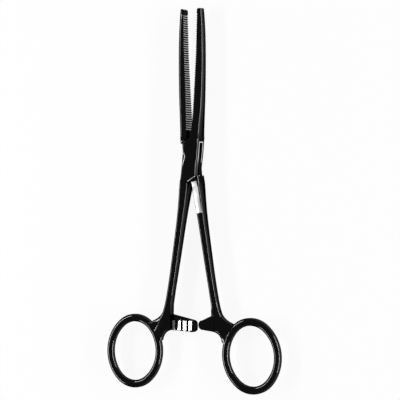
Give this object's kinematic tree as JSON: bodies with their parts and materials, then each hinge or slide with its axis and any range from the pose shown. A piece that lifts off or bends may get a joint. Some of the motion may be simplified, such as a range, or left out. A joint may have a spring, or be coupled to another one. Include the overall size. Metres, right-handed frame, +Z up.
{
  "type": "hemostatic forceps",
  "caption": "Straight clamping forceps with serrated jaws, a box lock, long tapering shanks, ratchet arms and oval finger rings.",
  "frame": {"origin": "on the hinge axis, in the flat back face of the box lock", "axes": "+Y towards the jaw tips, +X to the right half's jaw, +Z up out of the front of the box lock along the hinge axis"},
  "size_m": [0.0838, 0.1597, 0.0064],
  "materials": {
    "polished_steel": "dark mirror polish",
    "pin_steel": "ground flush and polished"
  },
  "bodies": {
    "box_side": {"female_half": "polished_steel", "joint_pin": "pin_steel"},
    "tongue_side": {"male_half": "polished_steel"}
  },
  "joints": [
    {"name": "box_hinge", "type": "hinge", "parent": "box_side", "child": "tongue_side", "pos_m": [0, 0, 0.0032], "axis": [0, 0, 1], "range_deg": [-5.75, 50]}
  ]
}
